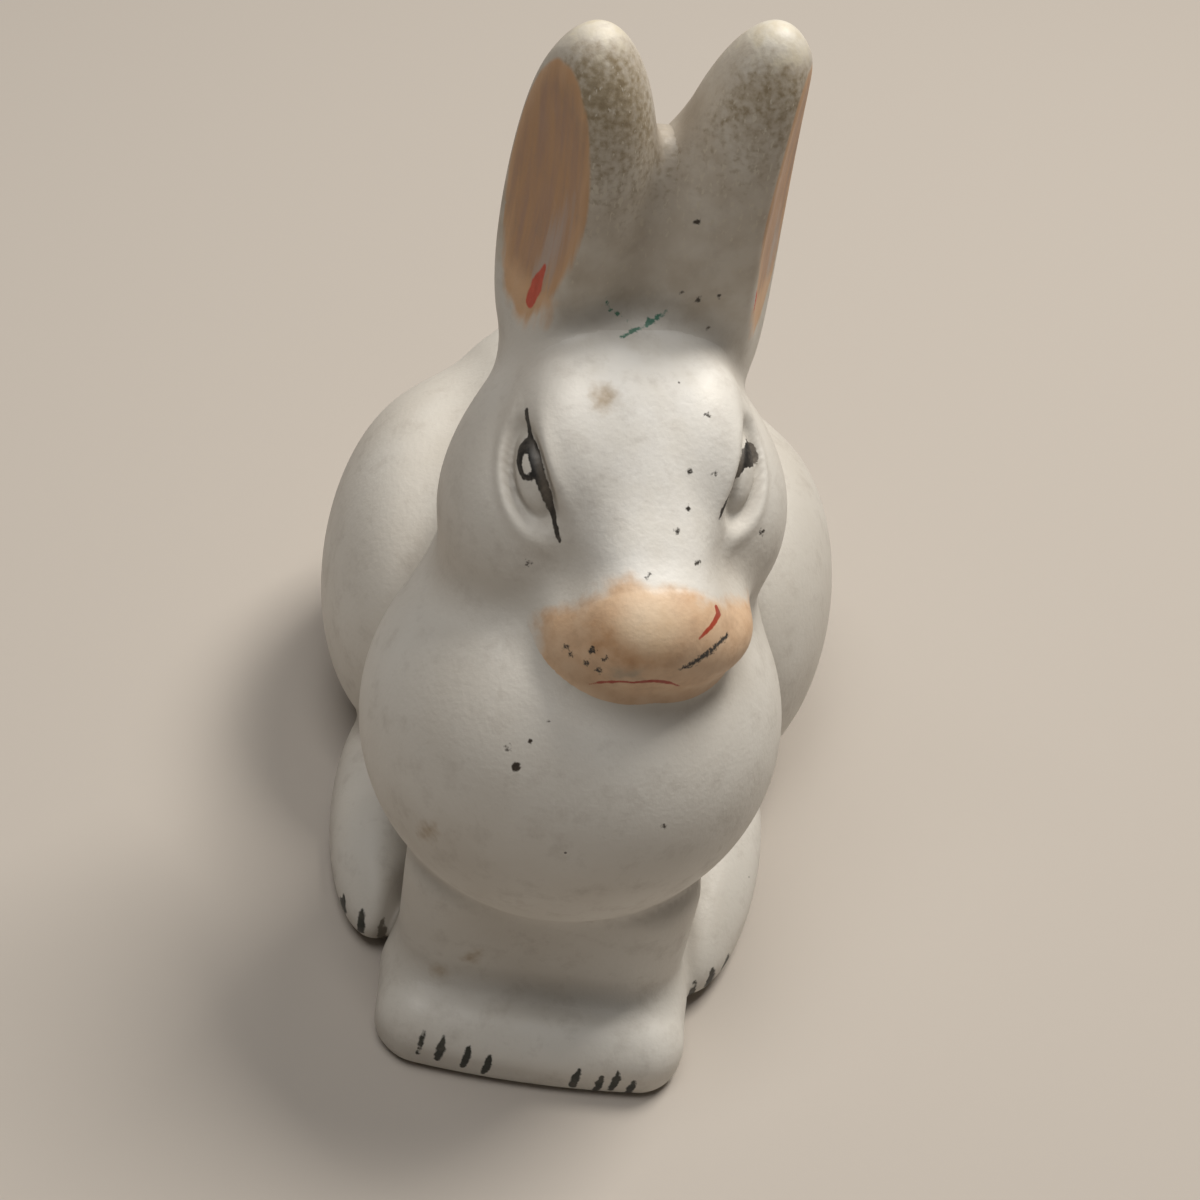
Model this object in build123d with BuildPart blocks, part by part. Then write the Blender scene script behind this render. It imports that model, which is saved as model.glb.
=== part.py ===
"""A sitting rabbit in white bisque, cast in pieces that were stuck together with slip and fired.

The rabbit faces -Y with its left side at +X, and stands on Z = 0. The origin is the middle of its
footprint, between the front toes and the end of the tail.
"""

import os
from math import cos, pi, sin

from build123d import *

# Castings in general
wall = 3.0  # clay left in the mould when the slip is poured out of a hollow piece
overrun = 1.0  # how far a cut runs past the clay that it goes through
oval_points = 12  # points round each oval outline

# Torso, from the chest to the rump
torso_length = 89.5
torso_width = 44.0
torso_height = 57.0  # top of the shoulders, which the head hides
chest_setback = 1.1  # chest behind the front toes
chest_share = 0.60  # height of the foremost point, as a share of the torso's height
# Place along the length, half the width, middle of the height, half the height
torso_shares = (
    (0.02, 0.21, 0.60, 0.16),
    (0.06, 0.33, 0.60, 0.25),
    (0.14, 0.45, 0.60, 0.33),
    (0.23, 0.48, 0.60, 0.36),
    (0.33, 0.43, 0.63, 0.36),
    (0.43, 0.35, 0.60, 0.43),
    (0.56, 0.43, 0.42, 0.46),
    (0.73, 0.49, 0.37, 0.44),
    (0.88, 0.40, 0.37, 0.35),
    (0.96, 0.25, 0.37, 0.22),
    (1.00, 0.07, 0.37, 0.06),
)
rump_middle_share = torso_shares[-1][2]
drain_diameter = 3.5  # hole that lets the steam out in the kiln
drain_share = 0.72  # its place along the torso

# Haunches, one flattened ball on each side of the rump
haunch_diameter = 41.4
haunch_thickness = 24.4
haunch_spread = 35.0  # between the middles of the two
haunch_setback = 55.6  # behind the front toes
haunch_height = 19.0  # middle above the base

# Head, which looks a little to its own left and dips its nose
head_length = 39.6
head_width = 33.2
head_height = 27.0
head_setback = 33.6  # middle of the skull behind the front toes
head_lift = 3.0  # middle of the skull above the top of the shoulders
head_turn = 12.0  # degrees
head_dip = 15.0  # degrees
skull_share = 0.35  # middle of the skull, from the back of the head
# Place along the length, half the width, reach to the crown, reach to the jaw
head_shares = (
    (0.00, 0.09, 0.08, 0.10),
    (0.06, 0.24, 0.23, 0.27),
    (0.15, 0.37, 0.36, 0.41),
    (0.30, 0.47, 0.46, 0.52),
    (0.45, 0.51, 0.49, 0.55),
    (0.58, 0.49, 0.42, 0.53),
    (0.68, 0.42, 0.34, 0.42),
    (0.78, 0.24, 0.31, 0.23),
    (0.86, 0.19, 0.28, 0.17),
    (0.92, 0.17, 0.25, 0.14),
    (0.96, 0.13, 0.19, 0.10),
    (0.98, 0.08, 0.13, 0.05),
)
# Muzzle, a ball drawn out sideways under the end of the bridge, with a smaller one for the nose
muzzle_width = 18.8
muzzle_diameter = 10.6
muzzle_reach = 18.4  # middle ahead of the middle of the skull
muzzle_drop = 6.3  # middle below the middle of the skull
nose_width = 9.4
nose_diameter = 8.6
nose_reach = 21.4
nose_drop = 4.6
neck_bore = 3.5  # hole through the neck, so that the head and the body share their air

# Ears, upright blades joined by a web above the crown, each with a shallow dish on its outer side
ear_length = 44.4
ear_width = 14.2
ear_spread = 13.9  # between the middles of the two
ear_shift = 1.2  # middle of the pair to the left of the middle of the skull
ear_setback = 7.2  # middle behind the middle of the skull
ear_lift = 18.7  # middle above the middle of the skull
ear_lean_forward = 6.0  # degrees
ear_lean_out = 1.5  # degrees
dish_length = 110.0
dish_width = 64.0
dish_depth = 3.1
dish_turn = 27.0  # degrees that the dish faces forward of straight sideways
web_length = 31.0
web_diameter = 12.4
web_setback = 6.4
web_lift = 13.0

# Forelegs, pressed together as one block with the paws as a ledge
leg_width = 30.0
leg_depth = 14.0
leg_height = 22.0
leg_setback = 6.1  # front of the legs behind the front toes
leg_rounding = 5.5
leg_brow = 4.5  # rounding of the block's upper edge, under the chest
paw_width = 32.4
paw_depth = 14.0
paw_height = 7.7
paw_rounding = 5.0
paw_brow = 4.0  # rounding of the ledge's upper edge

# Hind feet, long and flat beside the forelegs
foot_length = 33.0
foot_diameter = 12.0
foot_outset = 3.5  # middle outside the side of the legs
foot_gap = -0.4  # toes of the right foot behind the back of the front paws
foot_lead = 2.2  # the left foot in front of the right one
foot_turn = 6.0  # degrees that the toes turn in
foot_height = 3.5  # middle above the base

# Tail, pressed against the rump
tail_diameter = 13.0
tail_length = 16.0
tail_drop = 6.0  # middle below the middle of the rump
tail_sink = 1.0  # middle inside the end of the torso

# Places that follow from the sizes
torso_end = chest_setback + torso_length
total_length = torso_end + tail_diameter / 2 - tail_sink


def along(setback):
    """Y of a place this far behind the front toes."""
    return setback - total_length / 2


head_frame = Plane(
    origin=(0, along(head_setback), torso_height + head_lift),
    x_dir=Vector(1, 0, 0).rotate(Axis.Z, head_turn),
    z_dir=(0, 0, 1),
)
ear_middle_plane = Plane(head_frame.location * Location((ear_shift, 0, 0)) * Rotation(0, 90, 0))


def oval(plane, half_width, reach_up, reach_down):
    """Smooth closed outline with its own reach above and below its widest line."""
    points = []
    for step in range(oval_points):
        turn = 2 * pi * step / oval_points
        reach = reach_up if sin(turn) > 0 else reach_down
        points.append((half_width * cos(turn), reach * sin(turn)))
    with BuildSketch(plane) as outline:
        with BuildLine():
            Spline(*points, periodic=True)
        make_face()
    return outline.sketch


def torso_sections(clay_off):
    """Ovals from the chest to the small flat under the tail, with this clay taken off all round."""
    length = torso_length - 2 * clay_off
    width = torso_width - 2 * clay_off
    height = torso_height - 2 * clay_off
    front = along(chest_setback + clay_off)
    sections = [Vertex(0, front, chest_share * torso_height)]
    for place_share, width_share, middle_share, height_share in torso_shares:
        middle = (0, front + place_share * length, middle_share * torso_height)
        plane = Plane(origin=middle, x_dir=(1, 0, 0), z_dir=(0, -1, 0))
        half_height = height_share * height
        sections.append(oval(plane, width_share * width, half_height, half_height))
    return sections


def head_sections(clay_off):
    """Ovals from a small flat behind the skull to one inside the nose, with this clay taken off."""
    length = head_length - 2 * clay_off
    width = head_width - 2 * clay_off
    height = head_height - 2 * clay_off
    facing = Plane(head_frame.location * Rotation(90 + head_dip, 0, 0))
    face = facing.offset(-skull_share * length)
    sections = []
    for place_share, width_share, crown_share, jaw_share in head_shares:
        plane = face.offset(place_share * length)
        sections.append(oval(plane, width_share * width, crown_share * height, jaw_share * height))
    return sections


def spheroid(frame, diameter, length, mode=Mode.ADD):
    """Ball drawn out or flattened along the frame's Z."""
    upright = Plane(frame.location * Rotation(90, 0, 0))
    with BuildSketch(upright) as profile:
        with BuildLine():
            EllipticalCenterArc((0, 0), diameter / 2, length / 2, start_angle=-90, arc_size=180)
            Line((0, length / 2), (0, -length / 2))
        make_face()
    revolve(profile.sketch, axis=Axis(frame.origin, frame.z_dir), mode=mode)


def haunches(clay_off):
    """The two haunches, with this much clay taken off all round."""
    for side in (-1, 1):
        middle = (side * haunch_spread / 2, along(haunch_setback), haunch_height)
        frame = Plane(origin=middle, x_dir=(0, 0, 1), z_dir=(1, 0, 0))
        spheroid(frame, haunch_diameter - 2 * clay_off, haunch_thickness - 2 * clay_off)


def muzzle_balls(clay_off):
    """The muzzle and the nose, with this much clay taken off all round."""
    for width, diameter, reach, drop in (
        (muzzle_width, muzzle_diameter, muzzle_reach, muzzle_drop),
        (nose_width, nose_diameter, nose_reach, nose_drop),
    ):
        frame = Plane(head_frame.location * Location((0, -reach, -drop)) * Rotation(0, -90, 0))
        spheroid(frame, diameter - 2 * clay_off, width - 2 * clay_off)


# Outer forms that the pieces are cut by
outer_torso_sections = torso_sections(0)
outer_head_sections = head_sections(0)

with BuildPart() as torso_form:
    loft(sections=outer_torso_sections)
    haunches(0)
    split(bisect_by=Plane.XY, keep=Keep.TOP)

with BuildPart() as head_form:
    loft(sections=outer_head_sections)
    muzzle_balls(0)

# Hollows of the castings
inner_torso_sections = torso_sections(wall)
inner_head_sections = head_sections(wall)
seat_sections = head_sections(-wall)

with BuildPart() as seat_form:
    loft(sections=seat_sections)
    muzzle_balls(-wall)

with BuildPart() as body_hollow:
    loft(sections=inner_torso_sections)
    haunches(wall)
    split(bisect_by=Plane.XY.offset(wall), keep=Keep.TOP)
    add(seat_form.part, mode=Mode.SUBTRACT)

with BuildPart() as neck_hole:
    with BuildSketch(head_frame):
        Circle(neck_bore / 2)
    extrude(amount=-(head_height + 2 * wall))

with BuildPart() as head_hollow:
    loft(sections=inner_head_sections)
    add(neck_hole.part)

# Body: hollow torso and haunches with a dished seat for the head
with BuildPart() as body_shell:
    add(torso_form.part)
    add(head_form.part, mode=Mode.SUBTRACT)
    add(body_hollow.part, mode=Mode.SUBTRACT)
    add(neck_hole.part, mode=Mode.SUBTRACT)
    with BuildSketch(Plane.XY.offset(-overrun)):
        with Locations((0, along(chest_setback + drain_share * torso_length))):
            Circle(drain_diameter / 2)
    extrude(amount=wall + 2 * overrun, mode=Mode.SUBTRACT)

# Head: hollow, with the bore in its underside
with BuildPart() as head_shell:
    add(head_form.part)
    add(head_hollow.part, mode=Mode.SUBTRACT)

# Ears: each blade takes half of the web, up to the middle plane, and is cut by the head
ears = {}
web_frame = Plane(head_frame.location * Location((ear_shift, web_setback, web_lift)))
for name, side, kept in (("ear_right", -1, Keep.BOTTOM), ("ear_left", 1, Keep.TOP)):
    ear_middle = Location((ear_shift + side * ear_spread / 2, ear_setback, ear_lift))
    ear_leaning = Rotation(ear_lean_forward, side * ear_lean_out, 0)
    facing_in = Rotation(0, 0, 90 + side * 90)  # the ball's seam faces the other ear
    ear_frame = Plane(head_frame.location * ear_middle * ear_leaning * facing_in)
    dish_turning = Rotation(0, 0, -side * dish_turn)
    dish_middle = Location((side * (ear_width / 2 - dish_depth + dish_width / 2), 0, 0))
    dish_frame = Plane(head_frame.location * ear_middle * dish_turning * dish_middle)
    with BuildPart() as ear:
        spheroid(ear_frame, ear_width, ear_length)
        spheroid(web_frame, web_diameter, web_length)
        split(bisect_by=ear_middle_plane, keep=kept)
        spheroid(dish_frame, dish_width, dish_length, mode=Mode.SUBTRACT)
        add(head_form.part, mode=Mode.SUBTRACT)
    ears[name] = ear

# Forelegs: legs and paws in one block, cut by the chest that they carry
with BuildPart() as foreleg_block:
    with BuildSketch():
        with Locations((0, along(paw_depth / 2))):
            RectangleRounded(paw_width, paw_depth, paw_rounding)
    extrude(amount=paw_height)
    fillet(faces().sort_by(Axis.Z)[-1].edges(), paw_brow)
    with BuildSketch():
        with Locations((0, along(leg_setback + leg_depth / 2))):
            RectangleRounded(leg_width, leg_depth, leg_rounding)
    extrude(amount=leg_height)
    fillet(faces().sort_by(Axis.Z)[-1].edges(), leg_brow)
    add(torso_form.part, mode=Mode.SUBTRACT)

# Hind feet: long balls cut flat underneath and cut by what they lie against
hind_feet = {}
for name, side, lead in (("hind_foot_right", -1, 0), ("hind_foot_left", 1, foot_lead)):
    with BuildPart() as hind_foot:
        foot_across = leg_width / 2 + foot_outset
        foot_setback = paw_depth + foot_gap + foot_length / 2 - lead
        middle = (side * foot_across, along(foot_setback), foot_height)
        toes = Vector(0, -1, 0).rotate(Axis.Z, -side * foot_turn)
        foot_frame = Plane(origin=middle, z_dir=toes)
        spheroid(foot_frame, foot_diameter, foot_length)
        split(bisect_by=Plane.XY, keep=Keep.TOP)
        add(torso_form.part, mode=Mode.SUBTRACT)
        add(foreleg_block.part, mode=Mode.SUBTRACT)
    hind_feet[name] = hind_foot

# Tail: an upright ball pressed on the rump
with BuildPart() as tail:
    tail_height = rump_middle_share * torso_height - tail_drop
    tail_frame = Plane(origin=(0, along(torso_end - tail_sink), tail_height))
    spheroid(tail_frame, tail_diameter, tail_length)
    add(torso_form.part, mode=Mode.SUBTRACT)

pieces = {
    "body_shell": body_shell,
    "head_shell": head_shell,
    **ears,
    "foreleg_block": foreleg_block,
    **hind_feet,
    "tail": tail,
}
os.makedirs("parts", exist_ok=True)
for name, piece in pieces.items():
    piece.part.label = name
    export_step(piece.part, f"parts/{name}.step")
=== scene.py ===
import numpy as np
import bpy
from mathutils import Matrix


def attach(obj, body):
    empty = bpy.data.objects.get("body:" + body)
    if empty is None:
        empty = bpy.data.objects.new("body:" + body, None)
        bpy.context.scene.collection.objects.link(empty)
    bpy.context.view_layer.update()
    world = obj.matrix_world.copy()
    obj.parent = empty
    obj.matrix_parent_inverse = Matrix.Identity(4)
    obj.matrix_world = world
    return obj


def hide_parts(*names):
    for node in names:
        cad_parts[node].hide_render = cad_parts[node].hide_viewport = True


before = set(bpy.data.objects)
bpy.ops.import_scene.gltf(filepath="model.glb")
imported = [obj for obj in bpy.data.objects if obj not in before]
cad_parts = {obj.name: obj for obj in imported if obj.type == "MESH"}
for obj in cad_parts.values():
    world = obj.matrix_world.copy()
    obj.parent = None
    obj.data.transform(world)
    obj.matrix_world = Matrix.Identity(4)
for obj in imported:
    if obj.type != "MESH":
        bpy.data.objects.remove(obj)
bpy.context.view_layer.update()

TOE_LINE = -48.05
SKULL = (0.0, -14.45, 60.0)
FACE_TURN = 12.0


def lump(p, middle, radii, pitch=0.0, turn=0.0, lean=0.0):
    """Distance to an ellipsoid, near*(near-1)/slope, after turning the points back about Z, X and Y."""
    x, y, z = (p[..., i] - middle[i] for i in range(3))
    if turn:
        c, s = np.cos(np.radians(turn)), np.sin(np.radians(turn))
        x, y = c * x + s * y, c * y - s * x
    if pitch:
        c, s = np.cos(np.radians(pitch)), np.sin(np.radians(pitch))
        y, z = c * y + s * z, c * z - s * y
    if lean:
        c, s = np.cos(np.radians(lean)), np.sin(np.radians(lean))
        x, z = c * x - s * z, s * x + c * z
    x, y, z = x / radii[0], y / radii[1], z / radii[2]
    near = np.sqrt(x * x + y * y + z * z)
    slope = np.sqrt((x / radii[0]) ** 2 + (y / radii[1]) ** 2 + (z / radii[2]) ** 2)
    return near * (near - 1) / np.maximum(slope, 1e-6)


def melt(a, b, reach):
    """Union of two forms whose joint is smoothed over with a fillet of about that reach."""
    h = np.clip(0.5 + 0.5 * (b - a) / reach, 0, 1)
    return b * (1 - h) + a * h - reach * h * (1 - h)


def carve(a, b, reach):
    """Form a with form b cut out of it, the edge softened over that reach."""
    return -melt(-a, b, reach)


def block(p, middle, half, rounding):
    """Distance to a box with rounded edges and corners."""
    q = np.abs(p - np.array(middle, p.dtype)) - np.array(half, p.dtype) + rounding
    outside = np.sqrt((np.maximum(q, 0) ** 2).sum(-1))
    return outside + np.minimum(q.max(-1), 0) - rounding


def from_toes(p):
    """Points measured from the toe line, so that Y is the setback."""
    return p - np.array((0, TOE_LINE, 0), p.dtype)


def from_face(p):
    """Points measured from the skull's middle, in the turned frame of the face."""
    q = p - np.array(SKULL, p.dtype)
    c, s = np.cos(np.radians(FACE_TURN)), np.sin(np.radians(FACE_TURN))
    return np.stack([c * q[..., 0] + s * q[..., 1], c * q[..., 1] - s * q[..., 0], q[..., 2]], -1)


def both_sides(p):
    """Points folded over onto the left side, for forms that come in pairs."""
    return np.concatenate([np.abs(p[..., :1]), p[..., 1:]], -1)


def body_clay(p):
    """Rump, back and haunches melted together, then the chest and the neck."""
    q = from_toes(p)
    m = both_sides(q)
    rump = lump(q, (0, 63.6, 21), (22, 27, 25))
    back = lump(q, (0, 44.6, 33), (15.5, 28, 18.5), -16)
    haunches = lump(m, (17.2, 55.6, 19), (12.2, 21, 20.5), 14)
    chest = lump(q, (-0.6, 21.4, 34.2), (20.9, 20.5, 20.4))
    neck = lump(q, (0, 33.6, 48), (14.5, 14, 15))
    return melt(melt(melt(melt(rump, back, 8), haunches, 4), chest, 6), neck, 6)


def bridge_clay(h):
    """The broad flat bridge: a capsule of squarish section that narrows from the forehead to the nose."""
    top, tip = np.array((0, -3.0, 1.7), h.dtype), np.array((0, -19.2, -4.4), h.dtype)
    run = tip - top
    t = np.clip(((h - top) @ run) / (run @ run), 0, 1)
    q = h - top - t[..., None] * run
    taper = 1.15 * t * t / (t + 0.15)
    wide, tall = 9.0 - 3.7 * taper, 10.0 - 4.0 * taper
    deep = np.sqrt(q[..., 1] ** 2 + q[..., 2] ** 2)
    near = ((np.abs(q[..., 0]) / wide) ** 2.5 + (deep / tall) ** 2.5 + 1e-9) ** (1 / 2.5)
    return (near - 1) * np.minimum(wide, tall)


FACE_OFFSET = 0.7
EYE_MIDDLE = np.array((10.0, -10.9, 6.1))
EYE_AXES = np.array(((-0.247, -0.706, -0.664), (0.751, 0.291, -0.589), (0.62, -0.61, 0.49)))


def face_halves(h):
    """Face points folded over the face's own middle plane, which lies a little to the right of the skull's."""
    return both_sides(h + np.array((FACE_OFFSET, 0, 0), h.dtype))


def at_eye(h):
    """Face points as places along the eye, across it towards the cheek, and out from it, for either eye."""
    m = face_halves(h)
    return (m - EYE_MIDDLE.astype(h.dtype)) @ EYE_AXES.T.astype(h.dtype)


def eye_press(h):
    """Depth pressed into the clay about an eye: a groove round a low dome, and a raised lid above and below."""
    e = at_eye(h)
    along, across, out = e[..., 0], e[..., 1], e[..., 2]
    round_eye = np.sqrt(((along - 0.45) / 3.9) ** 2 + ((across - 0.75) / 1.75) ** 2)
    groove = 0.45 * np.exp(-((round_eye - 1.02) / 0.30) ** 2) + 0.35 * np.exp(-(round_eye / 1.3) ** 4)
    dome = 0.45 * np.maximum(0, 1 - round_eye ** 2)
    lower_lid = 0.26 * np.exp(-((round_eye - 1.52) / 0.36) ** 2) * np.clip(across / 1.5, 0, 1)
    upper_lid = 0.45 * np.exp(-((across + 2.0) / 0.9) ** 2 - (along / 4.5) ** 2)
    return (groove - dome - lower_lid - upper_lid) * np.exp(-(out / 4) ** 4)


def head_clay(p):
    """Skull and cheeks, bridge and brows, muzzle and chin, nose, then the eyes pressed in."""
    h = from_face(p)
    m = face_halves(h)
    skull = lump(m, (0, 0, 0), (12.4, 14, 12.5))
    cheeks = lump(m, (8.0, -4.5, -4.5), (8.6, 11, 11.0))
    brows = lump(m, (6.6, -6.0, 6.2), (3.4, 6.5, 4.6), 30)
    pads = lump(both_sides(h - np.array((0.5, 0, 0), h.dtype)), (4.1, -18.2, -6.2), (5.7, 5.7, 4.2))
    chin = lump(h, (0.3, -17.6, -7.0), (6.0, 5.0, 3.0))
    nose = lump(h, (-0.2, -21.0, -3.4), (5.0, 4.0, 3.6))
    form = melt(melt(skull, cheeks, 4), bridge_clay(h), 3.0)
    form = melt(form, brows, 3)
    form = melt(form, melt(pads, chin, 4), 3.6)
    return melt(form, nose, 3.4) + eye_press(h)


EAR_BLADES = {-1: ((-6.6, 7.2, 19.5), (7.0, 7.2, 21.2), 6, 0, -4.5),
              1: ((7.4, 7.2, 17.0), (7.3, 7.2, 24.6), 6, 0, -1.5)}
EAR_DISHES = {-1: ((-36.9, -8.1, 21.0), (30, 40, 52), 0, 27),
              1: ((38.3, -8.1, 21.0), (30, 40, 70), 0, -27, -5)}


def at_ears(p):
    """Face points leant over with the ears, which bend a little to one side."""
    h = from_face(p)
    return h - np.stack([0.3 + 0.045 * (h[..., 2] - 8), 0 * h[..., 0], 0 * h[..., 0]], -1)


def ear_clay(p):
    """Two long blades with a web between their roots, and the outer face of each dished out by a larger form."""
    h = at_ears(p)
    web = lump(h, (1.5, 6.6, 13.0), (6.5, 5.0, 15.5))
    pair = melt(melt(lump(h, *EAR_BLADES[1]), web, 4), lump(h, *EAR_BLADES[-1]), 2.2)
    return carve(carve(pair, lump(h, *EAR_DISHES[-1]), 1.0), lump(h, *EAR_DISHES[1]), 1.0)


def foreleg_clay(p):
    """The two forelegs in one block, melted into the wider block of the paws, whose front is bowed in plan."""
    q = from_toes(p)
    leg = block(q, (0, 13.1, 12), (15.0, 7.0, 14.0), 6.0)
    bow = 0.9 * np.clip(1 - ((q[..., 0] - 3) / 14) ** 2, -0.6, 1)
    paw = block(q + np.stack([0 * bow, bow, 0 * bow], -1), (0, 7.2, 2.8), (16.2, 7.0, 4.9), 4.4)
    return melt(leg, paw, 3)


def hind_foot_clay(p):
    """A long low foot at each side, the left one set a little further forward."""
    q = from_toes(p)
    left = lump(q, (18.3, 28.2, 3.5), (5.8, 16.8, 6.5), 0, -8)
    right = lump(q, (-18.6, 30.4, 3.5), (5.8, 16.5, 6.5), 0, 4)
    return np.minimum(left, right)


def tail_clay(p):
    """A short upright bob."""
    return lump(from_toes(p), (0, 89.6, 15), (6.6, 6.2, 8))


def whole_clay(p):
    """All the forms melted together, and cut flat where the rabbit stands."""
    form = melt(body_clay(p), head_clay(p), 3)
    form = melt(form, ear_clay(p), 3)
    form = melt(form, foreleg_clay(p), 0.9)
    form = melt(form, hind_foot_clay(p), 1.5)
    form = melt(form, tail_clay(p), 1.5)
    return -melt(-form, p[..., 2], 1.2)


# Body shell: the hollow slip casting that carries everything else, chest, back, haunches and rump in one.
# It is unglazed biscuit-fired earthenware, drained while wet and fettled smooth along the mould seam.
import bpy

RAY_LENGTH, HALVINGS = 60, 16
SINK, RUN_UNDER = 0.35, 1.5
HOLLOW_REACH = 2.5
FAR_OUTSIDE = -9


def cast(own, others, start, end, first, rows, columns, reach):
    """Skin of one casting. Rays leave a straight spine, square to it between its ends and fanned out beyond them,
    and are halved down on the clay's skin. Where another casting takes over, the skin sinks and runs a little under it.
    Returns the grid of points, rows by columns, with a pole before the first row and after the last."""
    start, end, first = (np.array(v, np.float32) for v in (start, end, first))
    axis = (end - start) / np.linalg.norm(end - start)
    first = first - axis * (first @ axis)
    first /= np.linalg.norm(first)
    third = np.cross(axis, first)
    length = np.linalg.norm(end - start)
    path = np.linspace(0, 1, rows).astype(np.float32)[:, None] * (length + 2 * reach) - reach
    fan = np.radians(90) * (np.minimum(path, 0) + np.maximum(path - length, 0)) / reach
    turn = np.linspace(0, 2 * np.pi, columns, endpoint=False).astype(np.float32)[None, :]
    around = np.cos(turn)[..., None] * first + np.sin(turn)[..., None] * third
    away = np.cos(fan)[..., None] * around + np.sin(fan)[..., None] * axis
    base = start + np.clip(path, 0, length)[..., None] * axis
    base = np.broadcast_to(base, away.shape).reshape(-1, 3)
    away = away.reshape(-1, 3).astype(np.float32)

    def skin(p):
        lead = own(p) - others(p)
        return np.maximum(whole_clay(p) + SINK * np.maximum(0, lead), lead - RUN_UNDER)

    near, far = np.zeros(len(base), np.float32), np.full(len(base), RAY_LENGTH, np.float32)
    for halving in range(HALVINGS):
        middle = (near + far) / 2
        inside = skin(base + middle[:, None] * away) < 0
        near, far = np.where(inside, middle, near), np.where(inside, far, middle)
    return (base + (near + far)[:, None] / 2 * away).reshape(rows, columns, 3)


def clay_slope(p, step=0.12):
    """Unit slope of the whole clay form by central differences, which is the skin's outward direction."""
    offsets = np.eye(3, dtype=np.float32) * step
    slope = np.stack([whole_clay(p + o) - whole_clay(p - o) for o in offsets], -1)
    return slope / np.maximum(np.linalg.norm(slope, axis=-1, keepdims=True), 1e-6)


def fire(name, grid, paints):
    """Closed mesh from a cast grid, with the clay's own slopes as normals, and each paint as millimetres inside
    its edge. Also keeps how hollow the surface is, from the clay met a little way outside it."""
    rows, columns = grid.shape[:2]
    points = np.concatenate([grid[:1, 0], grid[1:-1].reshape(-1, 3), grid[-1:, 0]])
    ring = np.arange(columns)
    step = np.roll(ring, -1)
    across = 1 + np.arange(rows - 3)[:, None] * columns
    quads = np.stack([across + ring, across + step, across + columns + step, across + columns + ring], -1)
    last = len(points) - 1
    top = np.stack([np.zeros_like(ring), 1 + step, 1 + ring], -1)
    foot = np.stack([np.full_like(ring, last), last - columns + ring, last - columns + step], -1)
    mesh = bpy.data.meshes.new(name)
    mesh.from_pydata((points / 1000).tolist(), [], quads.reshape(-1, 4).tolist() + top.tolist() + foot.tolist())
    slopes = clay_slope(points)
    hollow = 1 - whole_clay(points + HOLLOW_REACH * slopes) / HOLLOW_REACH
    for title, values in dict(paints(points), hollow=hollow).items():
        mesh.attributes.new(title, "FLOAT", "POINT").data.foreach_set("value", values.astype(np.float32))
    mesh.polygons.foreach_set("use_smooth", np.ones(len(mesh.polygons), bool))
    mesh.normals_split_custom_set_from_vertices(slopes.tolist())
    piece = bpy.data.objects.new(name, mesh)
    bpy.context.scene.collection.objects.link(piece)
    return piece


def linear(code):
    """sRGB hex code as linear red, green, blue and full alpha."""
    part = np.array([int(code[i:i + 2], 16) for i in (1, 3, 5)]) / 255
    return (*np.where(part <= 0.04045, part / 12.92, ((part + 0.055) / 1.055) ** 2.4).tolist(), 1.0)


def put(tree, kind, out, sockets, **settings):
    """Adds one node, sets its settings, fills its sockets with values or links, and returns one of its outputs."""
    node = tree.nodes.new(kind)
    for title, value in settings.items():
        setattr(node, title, value)
    for title, value in sockets.items():
        if isinstance(value, bpy.types.NodeSocket):
            tree.links.new(value, node.inputs[title])
        else:
            node.inputs[title].default_value = value
    return node.outputs[out]


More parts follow.
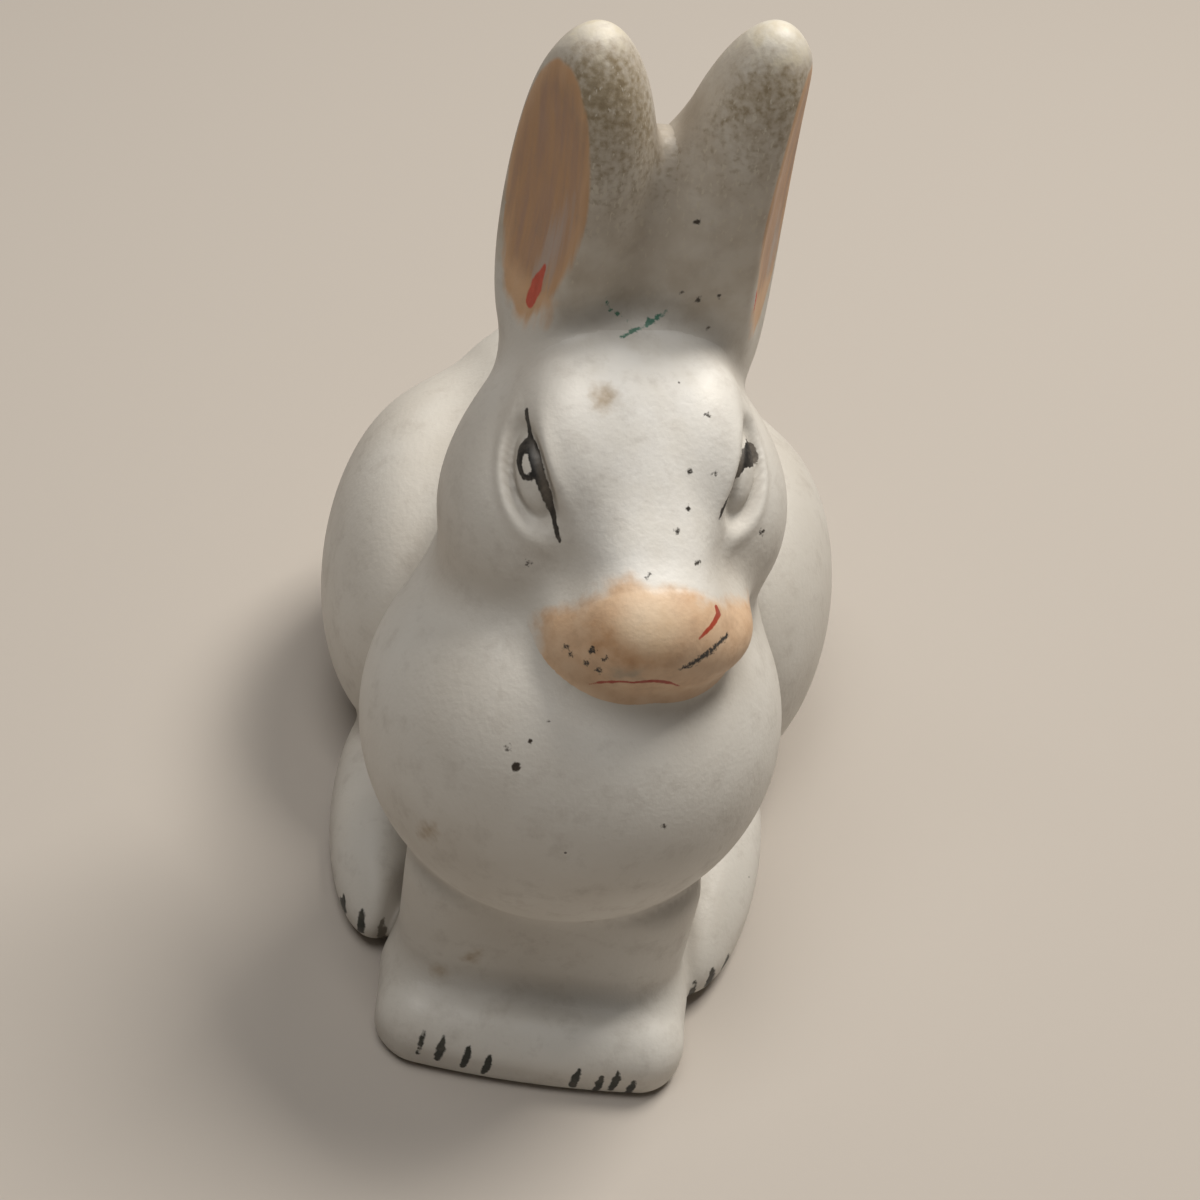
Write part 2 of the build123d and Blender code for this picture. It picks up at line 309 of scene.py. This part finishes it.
def biscuit(name, paints=()):
    """Biscuit-fired earthenware, hand painted and unglazed: a dry satin pale ground, mottled over centimetres, grainy
    at half a millimetre, with iron pinholes, and darkened grey in the creases, partly by dirt and partly as painted
    shade. Each paint is a thin wash (attribute, colour, colour where it lies thicker, soft edge in mm, ragged edge in
    mm, brush grain in mm); some of them are, wholly or partly, painted highlight and painted shade."""
    material = bpy.data.materials.new(name)
    material.use_nodes = True
    tree = material.node_tree
    tree.nodes.clear()
    place = put(tree, "ShaderNodeTexCoord", "Object", {})
    cloud = put(tree, "ShaderNodeTexNoise", "Fac", {"Vector": place, "Scale": 1000 / 16, "Detail": 4.0})
    grain = put(tree, "ShaderNodeTexNoise", "Fac", {"Vector": place, "Scale": 1000 / 0.55, "Detail": 3.0})
    scuff = put(tree, "ShaderNodeTexNoise", "Fac",
                {"Vector": place, "Scale": 1000 / 3.2, "Detail": 6.0, "Roughness": 0.7})
    mottle = put(tree, "ShaderNodeMapRange", "Result", {"Value": cloud, "From Min": 0.35, "From Max": 0.65})
    colour = put(tree, "ShaderNodeMix", 2, {0: mottle, 6: linear("#D6D0C6"), 7: linear("#E1DDD5")}, data_type="RGBA")
    for title, thin, thick, soft, ragged, brush in paints:
        inside = put(tree, "ShaderNodeAttribute", "Fac", {}, attribute_name=title)
        stretch = put(tree, "ShaderNodeVectorMath", "Vector",
                      {0: place, 1: tuple(1000 / b for b in brush)}, operation="MULTIPLY")
        bristle = put(tree, "ShaderNodeTexNoise", "Fac", {"Vector": stretch, "Scale": 1.0, "Detail": 3.0})
        fray = put(tree, "ShaderNodeMapRange", "Result",
                   {"Value": bristle, "From Min": 0.3, "From Max": 0.7, "To Min": -ragged, "To Max": ragged})
        edge = put(tree, "ShaderNodeMath", "Value", {0: inside, 1: fray}, operation="ADD")
        cover = put(tree, "ShaderNodeMapRange", "Result",
                    {"Value": edge, "From Min": -soft, "From Max": soft}, interpolation_type="SMOOTHSTEP")
        depth = put(tree, "ShaderNodeMapRange", "Result", {"Value": bristle, "From Min": 0.35, "From Max": 0.68})
        wash = put(tree, "ShaderNodeMix", 2, {0: depth, 6: linear(thin), 7: linear(thick)}, data_type="RGBA")
        colour = put(tree, "ShaderNodeMix", 2, {0: cover, 6: colour, 7: wash}, data_type="RGBA")
    # Creases darkened grey by how hollow the skin is: partly dirt, partly painted shade where the creases fall into
    # shadow.
    hollow = put(tree, "ShaderNodeAttribute", "Fac", {}, attribute_name="hollow")
    crease_dirt_and_shade = put(tree, "ShaderNodeMapRange", "Result",
                 {"Value": hollow, "From Min": 0.08, "From Max": 0.75, "To Max": 0.5})
    colour = put(tree, "ShaderNodeMix", 2, {0: crease_dirt_and_shade, 6: colour, 7: linear("#8C8173")}, data_type="RGBA")
    smear = put(tree, "ShaderNodeMapRange", "Result",
                {"Value": scuff, "From Min": 0.52, "From Max": 0.78, "To Max": 0.35})
    colour = put(tree, "ShaderNodeMix", 2, {0: smear, 6: colour, 7: linear("#A2978A")}, data_type="RGBA")
    cells = put(tree, "ShaderNodeTexVoronoi", "Distance", {"Vector": place, "Scale": 1000 / 4.5})
    pick = put(tree, "ShaderNodeTexVoronoi", "Color", {"Vector": place, "Scale": 1000 / 4.5})
    lot = put(tree, "ShaderNodeSeparateColor", 0, {0: pick})
    size = put(tree, "ShaderNodeMapRange", "Result",
               {"Value": lot, "From Min": 0.72, "From Max": 1.0, "To Max": 0.055})
    hole = put(tree, "ShaderNodeMath", "Value", {0: size, 1: cells}, operation="SUBTRACT")
    pin = put(tree, "ShaderNodeMapRange", "Result", {"Value": hole, "From Max": 0.012, "To Max": 0.8})
    colour = put(tree, "ShaderNodeMix", 2, {0: pin, 6: colour, 7: linear("#3A332C")}, data_type="RGBA")
    rough = put(tree, "ShaderNodeMapRange", "Result",
                {"Value": scuff, "From Min": 0.3, "From Max": 0.7, "To Min": 0.42, "To Max": 0.60})
    pitted = put(tree, "ShaderNodeMath", "Value", {0: pin, 1: -1.5, 2: grain}, operation="MULTIPLY_ADD")
    relief = put(tree, "ShaderNodeBump", "Normal", {"Height": pitted, "Strength": 0.35, "Distance": 0.00012})
    surface = put(tree, "ShaderNodeBsdfPrincipled", 0,
                  {"Base Color": colour, "Roughness": rough, "Normal": relief, "IOR": 1.5, "Specular IOR Level": 0.5})
    tree.links.new(surface, tree.nodes.new("ShaderNodeOutputMaterial").inputs["Surface"])
    return material


def rest_of(*forms):
    """Nearest of the other castings' forms."""
    return lambda p: np.minimum.reduce([form(p) for form in forms])


def stroke(places, knots):
    """Millimetres inside a brush line through knots of (coordinates, half width): half width less distance,
    the greatest of all the straight runs between knots."""
    knots = np.array(knots, np.float32)
    best = np.full(places.shape[:-1], FAR_OUTSIDE, np.float32)
    for a, b in zip(knots[:-1], knots[1:]):
        run = b[:-1] - a[:-1]
        t = np.clip(((places - a[:-1]) @ run) / (run @ run), 0, 1)
        gap = np.linalg.norm(places - a[:-1] - t[..., None] * run, axis=-1)
        best = np.maximum(best, a[-1] + (b[-1] - a[-1]) * t - gap)
    return best


def specks(places, rows):
    """Millimetres inside the nearest of some round specks, each a row of place and radius."""
    return np.maximum.reduce([
        row[-1] - np.linalg.norm(places - np.array(row[:-1], np.float32), axis=-1) for row in rows])


def seen(p):
    """Places as the painter sees them, from in front and half above: how far across, and how far up."""
    return np.stack([p[..., 0], 0.7071 * (p[..., 1] + p[..., 2])], -1)


def body_marks(points):
    """Iron specks on the breast, and a rusty smear beside it."""
    q = from_toes(points)
    front = np.where(q[..., 1] < 20, 0, FAR_OUTSIDE)
    iron = specks(seen(q), [(-6.8, 36.7, 0.32), (-5.0, 37.4, 0.28), (-5.9, 35.0, 0.46), (-3.6, 39.5, 0.24),
                            (8.3, 31.0, 0.24)])
    rust = stroke(seen(q), [(-13.3, 26.7, 0.2), (-13.0, 27.4, 0.5), (-12.7, 27.9, 0.2)])
    return dict(dark=front + iron, stain=front + rust)


SPECK = ("dark", "#453B31", "#352D26", 0.10, 0.14, (0.5, 0.5, 0.5))
STAIN = ("stain", "#C2B29D", "#B5A48D", 1.0, 0.35, (0.9, 0.9, 0.9))
body_skin = cast(body_clay, rest_of(head_clay, ear_clay, foreleg_clay, hind_foot_clay, tail_clay),
                 start=(0, TOE_LINE + 22, 33), end=(0, TOE_LINE + 64, 22), first=(1, 0, 0),
                 rows=260, columns=300, reach=26)
body = fire("body_casting", body_skin, body_marks)
body.data.materials.append(biscuit("biscuit_earthenware_bare", [STAIN, SPECK]))
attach(body, "root")
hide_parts("body_shell")


# Head shell: a second hollow casting, luted to the neck with slip, and turned a little to its left.
# The modeller's eyes, nose and mouth were gone over by hand with thin ceramic colour and then fired.
def patch(x, z, outline):
    """Millimetres inside a closed outline, by distance to its edges and the winding of its corners."""
    here, corners = np.stack([x, z], -1), np.array(outline, np.float32)
    gap, inside = np.full(x.shape, 9e9, np.float32), np.zeros(x.shape, bool)
    for a, b in zip(corners, np.roll(corners, -1, 0)):
        run = b - a
        t = np.clip(((here - a) @ run) / (run @ run), 0, 1)
        gap = np.minimum(gap, np.linalg.norm(here - a - t[..., None] * run, axis=-1))
        crosses = (a[1] > z) != (b[1] > z)
        with np.errstate(divide="ignore", invalid="ignore"):
            inside ^= crosses & (x < a[0] + (z - a[1]) * run[0] / np.where(run[1] == 0, 1, run[1]))
    return np.where(inside, gap, -gap)


def dusty_shaded_crown(points):
    """Dust and painted shade by height above the brows, and a green smear where a loaded brush touched the crown."""
    h = from_face(points)
    long_smear = stroke(seen(h), [(-1.7, 8.5, 0.05), (-0.6, 9.2, 0.16), (0.8, 9.6, 0.12), (1.1, 10.1, 0.24),
                                  (2.4, 10.8, 0.12)])
    short_smear = stroke(seen(h), [(-3.3, 11.9, 0.05), (-2.8, 11.2, 0.09), (-1.1, 10.2, 0.04)])
    front = np.where(h[..., 2] - h[..., 1] > 8, 0, FAR_OUTSIDE)
    # The dust mask also stands for painted shade: the crown and ears darker by height above the brows.
    return dict(dust_and_shade=h[..., 2] - 15.0, green=np.maximum(long_smear, short_smear) + front)


# Dust and painted shade: a greyer tone on the crown and ears, darker by height.
DUST_AND_SHADE = ("dust_and_shade", "#D3CBBE", "#C5BAAA", 2.5, 1.2, (3.0, 3.0, 3.0))
GREEN = ("green", "#4A9080", "#2F7D66", 0.12, 0.20, (0.45, 0.45, 0.45))


def face_paint(points):
    """The painter's marks: lids and pupils, whisker marks, muzzle wash, nostril and mouth, with iron specks between,
    together with two painted highlights: a lighter band down the forehead and bridge, and a paler round on the nose
    ball.
    """
    h = from_face(points)
    eye = at_eye(h)
    flat = eye[..., :2]
    lid = stroke(flat, [(-5.2, -0.2, 0.26), (-3.1, 0.0, 0.24), (-1.5, -0.25, 0.42), (0, -0.42, 0.48),
                        (1.9, -0.45, 0.42), (3.7, -0.2, 0.32), (6.7, -0.1, 0.20)])
    pupil = 1.2 * (1 - np.hypot((eye[..., 0] + 0.95) / 1.9, (eye[..., 1] - 0.35) / 1.2))
    glint = 0.45 * (1 - np.hypot((eye[..., 0] + 0.55) / 0.95, (eye[..., 1] - 0.45) / 0.45))
    left_pupil = patch(eye[..., 0], eye[..., 1], [(-2.9, 0.8), (-2.7, 2.3), (-1.9, 2.8), (-0.9, 2.8), (-0.4, 1.2),
                                                  (0.2, -0.5), (-1.5, -0.4)])
    left_lid = stroke(flat, [(-1.4, 0.0, 0.30), (0.3, -0.6, 0.34), (2.2, -1.4, 0.28), (4.3, -1.7, 0.22),
                             (5.2, -1.7, 0.12)])
    left = h[..., 0] > -FACE_OFFSET
    eyes = np.where(left, np.maximum(left_pupil, left_lid), np.maximum(lid, np.minimum(pupil, -glint)))
    front = np.where(h[..., 2] - h[..., 1] > 6, 0, FAR_OUTSIDE)
    face = seen(h)
    whiskers = np.maximum(
        stroke(face, [(6.6, -18.2, 0.14), (5.6, -18.9, 0.26), (4.6, -19.6, 0.24), (3.2, -20.4, 0.20),
                      (1.8, -21.1, 0.06)]),
        specks(face, [(-7.7, -19.1, 0.20), (-7.3, -19.7, 0.15), (-5.8, -19.3, 0.26), (-4.9, -20.0, 0.16),
                      (-6.2, -20.4, 0.16), (-5.2, -21.1, 0.20)]))
    iron = specks(face, [(5.1, 1.2, 0.24), (3.3, -3.7, 0.24), (5.6, -4.0, 0.18), (3.0, -7.0, 0.20), (3.7, -11.8, 0.28),
                         (-1.0, -12.9, 0.20), (-10.5, -11.5, 0.22), (11.2, -9.1, 0.22), (1.8, -9.0, 0.26)])
    dark = np.where(np.abs(eye[..., 2]) < 4, eyes, FAR_OUTSIDE)
    dry = front + np.maximum(whiskers, iron)
    muzzle = np.where(h[..., 1] < -14, 0, FAR_OUTSIDE)
    peach = patch(face[..., 0], face[..., 1], [(-9.6, -15.9), (-7.0, -15.6), (-4.9, -14.1), (-3.5, -13.2),
                                               (-2.6, -12.8), (-1.1, -14), (2.4, -14.1), (4.2, -15), (6.2, -15.3),
                                               (9.3, -15.1), (12, -15.6), (12, -24), (0, -30), (-10.4, -24)])
    peach = np.minimum(peach, -12.8 - 0.028 * h[..., 0] ** 2 - h[..., 1])
    # Painted highlight: a paler round on top of the nose ball, where it is lit.
    nose = muzzle + specks(face, [(-1.3, -17.0, 2.8)])
    tan = muzzle + stroke(face, [(-5.2, -17.0, 0.4), (-4.5, -18.5, 0.9), (-2.4, -19.8, 1.0), (0.3, -19.7, 0.7)])
    stain = front + np.maximum(specks(face, [(-4.2, 2.8, 1.0)]),
                               stroke(face, [(-3.6, -21.5, 0.2), (-2.2, -21.5, 0.2)]))
    red = muzzle + np.maximum(
        stroke(face, [(5.3, -15.7, 0.16), (5.5, -16.4, 0.27), (4.8, -17.2, 0.27), (3.3, -18.4, 0.12)]),
        stroke(face, [(-5.6, -22.4, 0.06), (-4.7, -22.2, 0.15), (-3.4, -22.1, 0.12), (-2.2, -22.2, 0.08),
                      (-0.3, -22.1, 0.13), (1.0, -22.3, 0.15), (2.3, -22.7, 0.05)]))
    # Painted highlight: a lighter band down the middle of the forehead and bridge, the top of the face where the light
    # falls.
    forehead_highlight = 7.5 - np.hypot(h[..., 0], 0.8 * np.minimum(h[..., 2] - 7, 0)) + np.where(h[..., 1] < 0, 0, FAR_OUTSIDE)
    return dict(dusty_shaded_crown(points), forehead_highlight=forehead_highlight, peach=peach, nose=nose, tan=tan, stain=stain, dark=dark, dry=dry,
                red=red)


head_skin = cast(head_clay, rest_of(body_clay, ear_clay),
                 start=(0, SKULL[1] + 1, 60), end=(3.2, SKULL[1] - 15, 55.5), first=(1, 0, 0),
                 rows=320, columns=308, reach=18)
head = fire("head_casting", head_skin, face_paint)
head.data.materials.append(biscuit("biscuit_earthenware_face_painted", [
    # Painted highlight on the forehead and bridge, lighter than the biscuit.
    ("forehead_highlight", "#EEEBE5", "#E8E4DC", 3.0, 1.0, (3.0, 3.0, 3.0)),
    # Dust and painted shade, darker by height.
    DUST_AND_SHADE,
    ("peach", "#E3C3A2", "#D9B490", 0.90, 0.40, (1.6, 1.6, 1.6)),
    ("tan", "#C99A6E", "#BD8C60", 1.2, 0.5, (1.5, 1.5, 1.5)),
    # Painted highlight on the nose ball, over the muzzle wash.
    ("nose", "#E9CFB0", "#E2C4A2", 1.4, 0.5, (2.2, 2.2, 2.2)),
    STAIN,
    GREEN,
    ("red", "#B4472E", "#A63A24", 0.06, 0.06, (0.9, 0.9, 0.9)),
    ("dry", "#3A352F", "#2B2722", 0.14, 0.22, (0.35, 0.35, 0.35)),
    ("dark", "#33302D", "#242220", 0.06, 0.08, (0.5, 0.5, 0.5))]))
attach(head, "root")
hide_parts("head_shell")


# Ears: two solid pressed blades, dished on the outer side, luted to the crown and joined by a web at the root.
# The dish has a brown and lilac wash brushed on lengthways, and a red almond low down; grime sits near the tips.
EARS_MEET = 0.6


def ear_paint(points):
    """The wash lies where a dish was cut into its blade, counted from the rim, and stops round below the tip and above
    the root. The lilac and the red are strokes in it; the grime and the paler tips go by height, the tips being worn
    and also a painted highlight where the light falls on the tops."""
    h = at_ears(points)
    inner = np.maximum.reduce([
        -lump(h, *EAR_BLADES[side]) - 3 * np.maximum(0, np.abs(lump(h, *EAR_DISHES[side])) - 0.2) for side in (-1, 1)])
    left = h[..., 0] > EARS_MEET
    sideways = (h[..., 1] - np.where(left, 4.0, 4.6)) / 5.0
    bottom = np.where(left, 19.4, 20.0) - 9 * np.sqrt(np.maximum(0, 1 - sideways ** 2))
    inner = inner - 0.9 * np.clip((25 - h[..., 2]) / 9, 0, 1)
    inner = np.minimum.reduce([inner, h[..., 2] - bottom, 38.0 - h[..., 2]])
    lilac = np.maximum(stroke(h, [(-8.2, 2.4, 26, 0.3), (-8.6, 3.4, 20, 1.1), (-9.2, 4.0, 15.5, 0.9)]),
                       stroke(h, [(12.8, 6.0, 26, 0.3), (12.8, 7.0, 15, 1.2)]))
    red = np.maximum(stroke(h, [(-9.3, 3.6, 17.4, 0.15), (-9.6, 4.0, 14.8, 0.80), (-9.9, 4.2, 12.9, 0.60)]),
                     stroke(h, [(10.0, 1.3, 16.7, 0.12), (10.2, 1.6, 15.1, 0.60), (10.2, 1.3, 13.6, 0.35)]))
    front = 3.2 - h[..., 1]
    iron = specks(seen(h), [(2.6, 17.8, 0.22), (2.8, 12.4, 0.15), (4.3, 11.8, 0.22), (6.1, 12.0, 0.15),
                            (5.9, 9.5, 0.18)])
    return dict(dusty_shaded_crown(points), inner=inner, wash=inner - 0.9, lilac=np.minimum(lilac, inner - 0.8),
                foot=np.minimum(14.5 - h[..., 2], inner), red=np.where(inner > -0.3, red, FAR_OUTSIDE),
                # The tips are worn biscuit and also a painted highlight: paler at the tops of the ears, where the light
                # falls.
                grime=np.minimum(0.3 * (h[..., 2] - 31), front) - np.where(left, 1.2, 0), tip=h[..., 2] - 39.6,
                wear=np.minimum(-0.8 - 0.05 * np.abs(h[..., 2] - 27), front),
                dark=np.minimum(front, iron))


ear_finish = biscuit("biscuit_earthenware_ear_washed", [
    # Dust and painted shade, darker by height up the ears.
    DUST_AND_SHADE,
    ("grime", "#B8A98F", "#9A8A70", 2.2, 1.4, (0.6, 0.6, 0.6)),
    ("wear", "#DAD2C4", "#D2C9B8", 0.25, 1.5, (0.4, 0.4, 0.9)),
    # Worn tips, also a painted highlight on the tops of the ears.
    ("tip", "#E6E0D3", "#D9CFBA", 0.9, 0.9, (1.3, 1.3, 1.3)),
    ("inner", "#D6AE86", "#CBA078", 0.35, 0.20, (1.1, 1.1, 9.0)),
    ("wash", "#C79C74", "#B8937A", 0.70, 0.35, (0.9, 0.9, 9.0)),
    ("lilac", "#C2B2AA", "#C0A998", 0.80, 0.70, (0.7, 0.7, 9.0)),
    ("foot", "#E6C09A", "#DCB288", 1.4, 0.8, (1.5, 1.5, 3.0)),
    ("red", "#DA5C44", "#CC4F38", 0.12, 0.08, (0.8, 0.8, 1.6)),
    SPECK,
    GREEN])


def out_of_face(h):
    """A place in the face's frame as a place in the rabbit's own."""
    c, s = np.cos(np.radians(FACE_TURN)), np.sin(np.radians(FACE_TURN))
    return SKULL[0] + c * h[0] - s * h[1], SKULL[1] + s * h[0] + c * h[1], SKULL[2] + h[2]


for side, node, foot_across, tip_across in ((1, "ear_left", 7.9, 8.6), (-1, "ear_right", -5.3, -6.2)):
    def past_middle(p, side=side):
        """Distance towards this ear from the plane where the two meet."""
        return side * (at_ears(p)[..., 0] - EARS_MEET)

    def this_ear(p, side=side):
        """The pair of ears cut off at that plane."""
        return np.maximum(ear_clay(p), -past_middle(p, side))

    ear_skin = cast(this_ear, rest_of(head_clay, body_clay, past_middle),
                    start=out_of_face((foot_across, 6.2, 10)), end=out_of_face((tip_across, 8.6, 33)),
                    first=(1, 0, 0), rows=220, columns=220, reach=9)
    ear = fire(node + "_blade", ear_skin, ear_paint)
    ear.data.materials.append(ear_finish)
    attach(ear, "root")
    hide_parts(node)


# Forelegs: one solid block for both legs with the paws as a step in front, luted under the chest.
# The claws are short strokes of black ceramic colour on the front edge of the paws.
def claw_paint(points):
    """Four upright strokes for each paw, drawn as seen from in front, and two smudges on the right leg."""
    q = from_toes(points)
    front = np.where(q[..., 1] < 3, 0, FAR_OUTSIDE)
    claws = [(-10.9, 6.0, 0.24), (-8.8, 5.8, 0.44), (-6.1, 5.5, 0.44), (-3.9, 4.8, 0.38),
             (5.3, 4.6, 0.48), (7.8, 3.9, 0.40), (9.4, 4.7, 0.48), (11.2, 3.9, 0.44)]
    strokes = [stroke(q[..., ::2], [(x, z, 0.15), (x - 0.15, z - 1.2, wide), (x - 0.4, z - 3.0, 0.8 * wide)])
               for x, z, wide in claws]
    smudges = np.maximum(stroke(q, [(-6.6, 6.1, 13.6, 0.1), (-7.2, 6.1, 12.4, 0.35)]),
                         specks(q, [(-10.2, 6.1, 9.6, 0.5)]))
    return dict(dark=front + np.maximum.reduce(strokes), stain=smudges)


foreleg_skin = cast(foreleg_clay, rest_of(body_clay, hind_foot_clay),
                    start=(-9, TOE_LINE + 10.5, 6.5), end=(9, TOE_LINE + 10.5, 6.5), first=(0, 0, 1),
                    rows=200, columns=220, reach=9)
forelegs = fire("foreleg_casting", foreleg_skin, claw_paint)
claw_black = ("dark", "#33352F", "#24261F", 0.10, 0.14, (0.8, 0.8, 0.8))
forelegs.data.materials.append(biscuit("biscuit_earthenware_paws", [STAIN, claw_black]))
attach(forelegs, "root")
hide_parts("foreleg_block")


# Hind feet: a long solid pressing at each side, luted under the haunch, flat where it stands.
# Three black claw strokes cross the toe.
def toe_paint(points):
    """Three strokes over the front of each foot."""
    q = from_toes(points)
    front = np.where(q[..., 1] < 19, 0, FAR_OUTSIDE)
    claws = [(-21.2, 4.6), (-19.0, 5.6), (-16.7, 5.2), (20.6, 4.4), (18.9, 5.0), (17.0, 4.6)]
    strokes = [stroke(q[..., ::2], [(x, z, 0.2), (x, z - 1.2, 0.45), (x, z - 3.0, 0.35)]) for x, z in claws]
    return dict(dark=front + np.maximum.reduce(strokes))


foot_finish = biscuit("biscuit_earthenware_feet", [claw_black])
for side, node in ((1, "hind_foot_left"), (-1, "hind_foot_right")):
    foot_skin = cast(hind_foot_clay, rest_of(body_clay, foreleg_clay),
                     start=(side * 18.8, TOE_LINE + 23, 3.2), end=(side * 18.8, TOE_LINE + 38, 3.2), first=(0, 0, 1),
                     rows=140, columns=120, reach=6)
    foot = fire(node + "_pressing", foot_skin, toe_paint)
    foot.data.materials.append(foot_finish)
    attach(foot, "root")
    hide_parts(node)


# Tail: a small solid bob pressed on to the rump with slip.
# It is the same bare biscuit as the body.
tail_skin = cast(tail_clay, rest_of(body_clay), start=(0, TOE_LINE + 90, 12), end=(0, TOE_LINE + 90, 18),
                 first=(1, 0, 0), rows=110, columns=120, reach=5)
tail = fire("tail_bob_casting", tail_skin, lambda points: {})
tail.data.materials.append(biscuit("biscuit_earthenware_tail"))
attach(tail, "root")
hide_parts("tail")


# Stage: a plain pale floor, two soft lamps overhead and the camera, which looks down on the face at half a right angle.
# None of it belongs to the rabbit.
floor_mesh = bpy.data.meshes.new("floor")
floor_mesh.from_pydata([(-3, -3, 0), (3, -3, 0), (3, 3, 0), (-3, 3, 0)], [], [(0, 1, 2, 3)])
floor = bpy.data.objects.new("floor", floor_mesh)
bpy.context.scene.collection.objects.link(floor)
paper = bpy.data.materials.new("matt_paper")
paper.use_nodes = True
paper.node_tree.nodes["Principled BSDF"].inputs["Base Color"].default_value = linear("#C0B8AF")
paper.node_tree.nodes["Principled BSDF"].inputs["Roughness"].default_value = 0.9
floor_mesh.materials.append(paper)


def frame_from(place, aim, roll):
    """Columns of the matrix that puts something at place, looking at aim and rolled about its own line of sight."""
    back = np.array(place, float) - np.array(aim, float)
    back /= np.linalg.norm(back)
    side = np.cross((0, 0, 1), back)
    side /= np.linalg.norm(side)
    up = np.cross(back, side)
    c, s = np.cos(np.radians(roll)), np.sin(np.radians(roll))
    side, up = c * side + s * up, c * up - s * side
    matrix = np.eye(4)
    matrix[:3, 0], matrix[:3, 1], matrix[:3, 2], matrix[:3, 3] = side, up, back, place
    return matrix.T.tolist()


def lamp(title, place, size, power, tint):
    """A square soft lamp aimed at the middle of the rabbit."""
    light = bpy.data.lights.new(title, "AREA")
    light.size, light.energy, light.color = size, power, linear(tint)[:3]
    holder = bpy.data.objects.new(title, light)
    bpy.context.scene.collection.objects.link(holder)
    holder.matrix_world = frame_from(place, (0, 0, 0.05), 0)


lamp("soft_key_lamp", (0.195, 0.21, 0.585), 0.22, 3.2, "#FFFAF2")
lamp("soft_top_lamp", (-0.10, -0.08, 0.64), 0.30, 1.6, "#FFFDFA")
world = bpy.data.worlds.new("studio")
world.use_nodes = True
world.node_tree.nodes["Background"].inputs["Color"].default_value = linear("#F2EEEA")
world.node_tree.nodes["Background"].inputs["Strength"].default_value = 0.05
bpy.context.scene.world = world
bpy.context.scene.view_settings.view_transform = "Standard"

CAMERA_TURN, CAMERA_RISE, CAMERA_ROLL, CAMERA_DISTANCE = -5, 45, 11, 0.19
aim = np.array((0, -0.02815, 0.052))
angle, rise = np.radians(CAMERA_TURN), np.radians(CAMERA_RISE)
sight = np.array((np.sin(angle) * np.cos(rise), -np.cos(angle) * np.cos(rise), np.sin(rise)))
lens = bpy.data.cameras.new("camera")
lens.sensor_width, lens.lens, lens.clip_start = 36, 61.5, 0.01
camera = bpy.data.objects.new("camera", lens)
bpy.context.scene.collection.objects.link(camera)
camera.matrix_world = frame_from(aim + CAMERA_DISTANCE * sight, aim, CAMERA_ROLL)
bpy.context.scene.camera = camera
